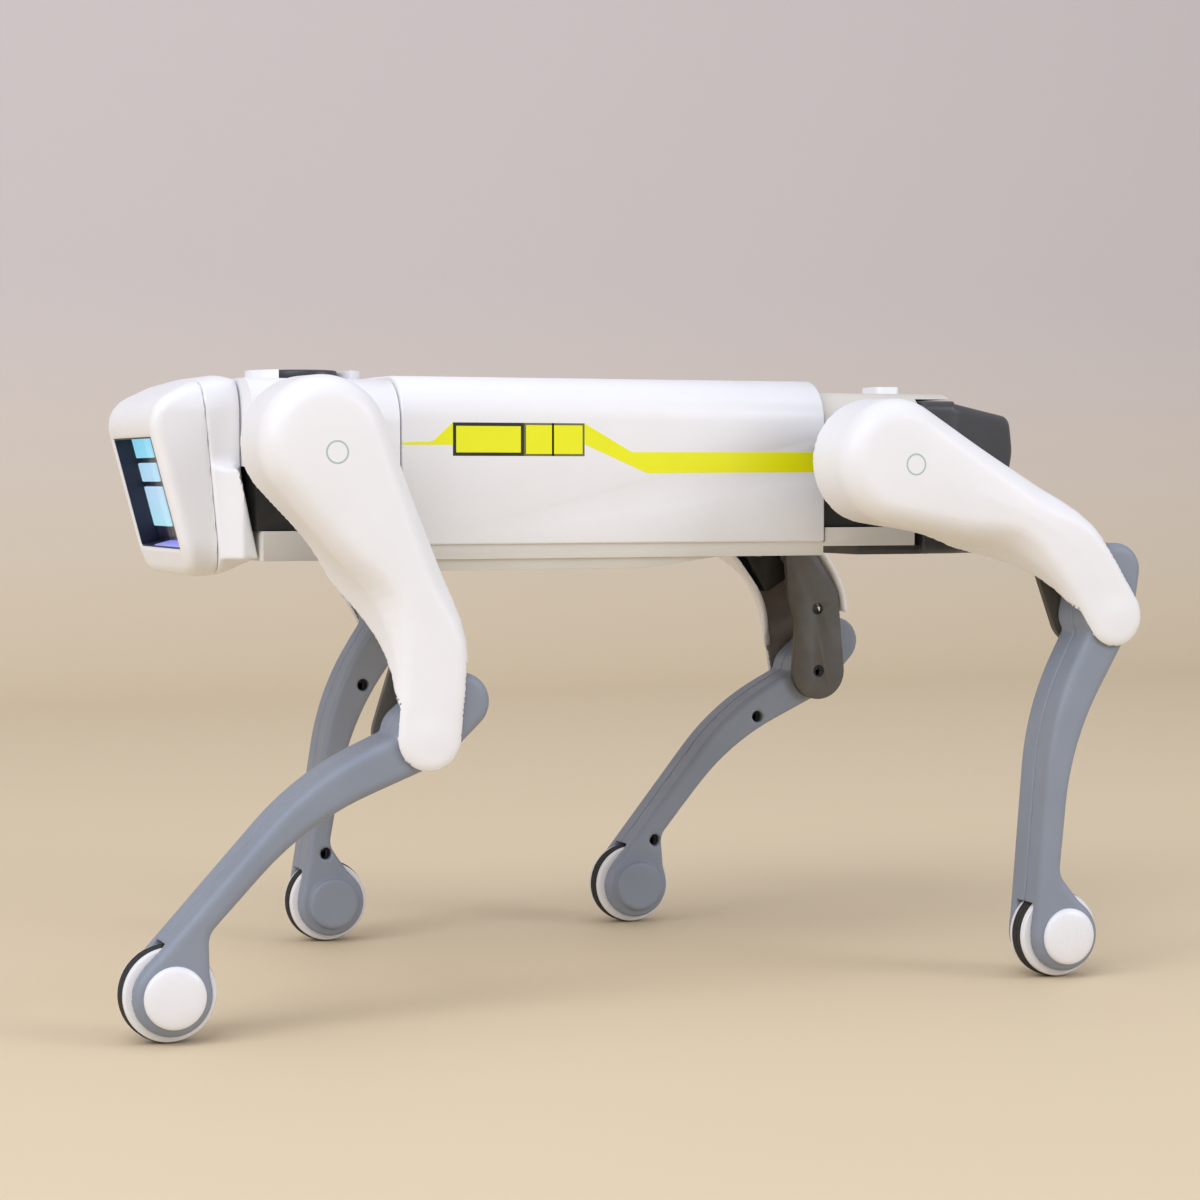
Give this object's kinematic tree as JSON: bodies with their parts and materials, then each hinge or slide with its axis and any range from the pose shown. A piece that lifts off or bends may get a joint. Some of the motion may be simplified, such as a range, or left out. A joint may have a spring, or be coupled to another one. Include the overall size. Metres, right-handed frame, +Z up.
{
  "type": "walking robot dog toy",
  "caption": "Four-legged robot dog toy with a boxy body, lit face window, jointed legs worked by knee linkages, and small rubber-ringed roller feet.",
  "frame": {"origin": "on the floor plane, under the middle of the bounding box", "axes": "+X towards the tail, +Y towards the dog's right side, +Z up"},
  "size_m": [0.346, 0.1904, 0.2027],
  "materials": {
    "white_shell": "moulded ABS, satin white",
    "warm_white_shell": "moulded ABS, warm light grey, lightly textured",
    "grey_limb": "moulded ABS, cool grey, satin",
    "charcoal_shell": "moulded ABS, charcoal, satin",
    "gunmetal_plate": "pressed plate, dark bronze-grey paint",
    "black_plastic": "moulded black ABS",
    "linkage_acetal": "natural acetal, machined feel",
    "roller_white": "moulded white ABS",
    "tyre_rubber": "moulded rubber, matt",
    "battery_wrap": "shrink-wrapped cells, blue",
    "circuit_board": "glass-fibre board, green mask",
    "speaker_paper": "black paper cone in a stamped basket",
    "screw_steel": "zinc-plated steel",
    "face_glass": "clear tinted acrylic window",
    "face_light": "dark navy display panel with lit cyan bars"
  },
  "bodies": {
    "torso": {"top_shell": "white_shell", "shoulder_cover": "white_shell", "rear_cover": "warm_white_shell", "tail_cap": "charcoal_shell", "belly_tray": "warm_white_shell", "battery_pack": "battery_wrap", "front_hip_frame": "black_plastic", "rear_hip_frame": "black_plastic", "head_bezel": "white_shell", "head_shell": "white_shell", "face_lens": "face_glass", "face_display": "face_light", "main_board": "circuit_board", "speaker": "speaker_paper", "charge_socket": "screw_steel", "hip_servos": "black_plastic", "case_screws": "screw_steel"},
    "touch_button": {"touch_button": "charcoal_shell"},
    "power_button": {"power_button": "white_shell"},
    "battery_door": {"battery_door": "warm_white_shell"},
    "front_left_thigh": {"front_left_thigh_shell": "white_shell", "front_left_thigh_plate": "gunmetal_plate", "front_left_knee_servo": "black_plastic"},
    "front_left_crank": {"front_left_crank": "linkage_acetal"},
    "front_left_push_rod": {"front_left_push_rod": "grey_limb"},
    "front_left_shin": {"front_left_shin_outer": "grey_limb", "front_left_shin_inner": "grey_limb", "front_left_axle_cap": "white_shell"},
    "front_left_wheel": {"front_left_wheel": "roller_white", "front_left_tyre": "tyre_rubber"},
    "rear_left_thigh": {"rear_left_thigh_shell": "white_shell", "rear_left_thigh_plate": "gunmetal_plate", "rear_left_knee_servo": "black_plastic"},
    "rear_left_crank": {"rear_left_crank": "linkage_acetal"},
    "rear_left_push_rod": {"rear_left_push_rod": "grey_limb"},
    "rear_left_shin": {"rear_left_shin_outer": "grey_limb", "rear_left_shin_inner": "grey_limb", "rear_left_axle_cap": "white_shell"},
    "rear_left_wheel": {"rear_left_wheel": "roller_white", "rear_left_tyre": "tyre_rubber"},
    "front_right_thigh": {"front_right_thigh_shell": "white_shell", "front_right_thigh_plate": "gunmetal_plate", "front_right_knee_servo": "black_plastic"},
    "front_right_crank": {"front_right_crank": "linkage_acetal"},
    "front_right_push_rod": {"front_right_push_rod": "grey_limb"},
    "front_right_shin": {"front_right_shin_outer": "grey_limb", "front_right_shin_inner": "grey_limb", "front_right_axle_cap": "white_shell"},
    "front_right_wheel": {"front_right_wheel": "roller_white", "front_right_tyre": "tyre_rubber"},
    "rear_right_thigh": {"rear_right_thigh_shell": "white_shell", "rear_right_thigh_plate": "gunmetal_plate", "rear_right_knee_servo": "black_plastic"},
    "rear_right_crank": {"rear_right_crank": "linkage_acetal"},
    "rear_right_push_rod": {"rear_right_push_rod": "grey_limb"},
    "rear_right_shin": {"rear_right_shin_outer": "grey_limb", "rear_right_shin_inner": "grey_limb", "rear_right_axle_cap": "white_shell"},
    "rear_right_wheel": {"rear_right_wheel": "roller_white", "rear_right_tyre": "tyre_rubber"}
  },
  "joints": [
    {"name": "touch_button_press", "type": "slide", "parent": "torso", "child": "touch_button", "axis": [0, 0, -1], "range_m": [0, 0.001], "stiffness_N_per_m": 300, "springref_m": -0.0025},
    {"name": "power_button_press", "type": "slide", "parent": "torso", "child": "power_button", "axis": [0, 0, -1], "range_m": [0, 0.0008], "stiffness_N_per_m": 400, "springref_m": -0.0025},
    {"name": "battery_door_slide", "type": "slide", "parent": "torso", "child": "battery_door", "axis": [1, 0, 0], "range_m": [0, 0.045]},
    {"name": "front_left_hip", "type": "hinge", "parent": "torso", "child": "front_left_thigh", "pos_m": [-0.1101, -0.06, 0.1784], "axis": [0, 1, 0], "range_deg": [-36.4, 18.6]},
    {"name": "front_left_knee", "type": "hinge", "parent": "front_left_thigh", "child": "front_left_shin", "pos_m": [-0.07996, -0.0822, 0.08884], "axis": [0, 1, 0], "range_deg": [-15.18, 24.82]},
    {"name": "front_left_roll", "type": "hinge", "parent": "front_left_shin", "child": "front_left_wheel", "pos_m": [-0.1584, -0.0822, 0.0146], "axis": [0, 1, 0], "continuous": true},
    {"name": "front_left_crank", "type": "hinge", "parent": "front_left_thigh", "child": "front_left_crank", "pos_m": [-0.08988, -0.0776, 0.14089], "axis": [0, 1, 0], "range_deg": [-16.18, 25.82]},
    {"name": "front_left_rod", "type": "hinge", "parent": "front_left_crank", "child": "front_left_push_rod", "pos_m": [-0.08262, -0.0744, 0.14776], "axis": [0, 1, 0], "range_deg": [-25.82, 16.18]},
    {"name": "rear_left_hip", "type": "hinge", "parent": "torso", "child": "rear_left_thigh", "pos_m": [0.0825, -0.06, 0.1737], "axis": [0, 1, 0], "range_deg": [-5.6, 46.4]},
    {"name": "rear_left_knee", "type": "hinge", "parent": "rear_left_thigh", "child": "rear_left_shin", "pos_m": [0.16121, -0.0822, 0.12141], "axis": [0, 1, 0], "range_deg": [-14.93, 25.07]},
    {"name": "rear_left_roll", "type": "hinge", "parent": "rear_left_shin", "child": "rear_left_wheel", "pos_m": [0.1452, -0.0822, 0.0146], "axis": [0, 1, 0], "continuous": true},
    {"name": "rear_left_crank", "type": "hinge", "parent": "rear_left_thigh", "child": "rear_left_crank", "pos_m": [0.12147, -0.0776, 0.15646], "axis": [0, 1, 0], "range_deg": [-15.93, 26.07]},
    {"name": "rear_left_rod", "type": "hinge", "parent": "rear_left_crank", "child": "rear_left_push_rod", "pos_m": [0.12295, -0.0744, 0.16634], "axis": [0, 1, 0], "range_deg": [-26.07, 15.93]},
    {"name": "front_right_hip", "type": "hinge", "parent": "torso", "child": "front_right_thigh", "pos_m": [-0.1101, 0.06, 0.1784], "axis": [0, 1, 0], "range_deg": [-3.29, 51.71]},
    {"name": "front_right_knee", "type": "hinge", "parent": "front_right_thigh", "child": "front_right_shin", "pos_m": [-0.03594, 0.0822, 0.11984], "axis": [0, 1, 0], "range_deg": [-14.69, 25.31]},
    {"name": "front_right_roll", "type": "hinge", "parent": "front_right_shin", "child": "front_right_wheel", "pos_m": [-0.0602, 0.0822, 0.0146], "axis": [0, 1, 0], "continuous": true},
    {"name": "front_right_crank", "type": "hinge", "parent": "front_right_thigh", "child": "front_right_crank", "pos_m": [-0.07268, 0.0776, 0.15802], "axis": [0, 1, 0], "range_deg": [-15.69, 26.31]},
    {"name": "front_right_rod", "type": "hinge", "parent": "front_right_crank", "child": "front_right_push_rod", "pos_m": [-0.07043, 0.0744, 0.16777], "axis": [0, 1, 0], "range_deg": [-26.31, 15.69]},
    {"name": "rear_right_hip", "type": "hinge", "parent": "torso", "child": "rear_right_thigh", "pos_m": [0.0825, 0.06, 0.1737], "axis": [0, 1, 0], "range_deg": [-29.91, 22.09]},
    {"name": "rear_right_knee", "type": "hinge", "parent": "rear_right_thigh", "child": "rear_right_shin", "pos_m": [0.1327, 0.0822, 0.09364], "axis": [0, 1, 0], "range_deg": [-25.05, 14.95]},
    {"name": "rear_right_roll", "type": "hinge", "parent": "rear_right_shin", "child": "rear_right_wheel", "pos_m": [0.0591, 0.0822, 0.0146], "axis": [0, 1, 0], "continuous": true},
    {"name": "rear_right_crank", "type": "hinge", "parent": "rear_right_thigh", "child": "rear_right_crank", "pos_m": [0.11091, 0.0776, 0.14194], "axis": [0, 1, 0], "range_deg": [-26.05, 15.95]},
    {"name": "rear_right_rod", "type": "hinge", "parent": "rear_right_crank", "child": "rear_right_push_rod", "pos_m": [0.11772, 0.0744, 0.14926], "axis": [0, 1, 0], "range_deg": [-15.95, 26.05]}
  ],
  "couplings": [
    {"joint": "front_left_crank", "follows": "front_left_knee", "ratio": 1},
    {"joint": "front_left_rod", "follows": "front_left_knee", "ratio": -1},
    {"joint": "rear_left_crank", "follows": "rear_left_knee", "ratio": 1},
    {"joint": "rear_left_rod", "follows": "rear_left_knee", "ratio": -1},
    {"joint": "front_right_crank", "follows": "front_right_knee", "ratio": 1},
    {"joint": "front_right_rod", "follows": "front_right_knee", "ratio": -1},
    {"joint": "rear_right_crank", "follows": "rear_right_knee", "ratio": 1},
    {"joint": "rear_right_rod", "follows": "rear_right_knee", "ratio": -1}
  ]
}
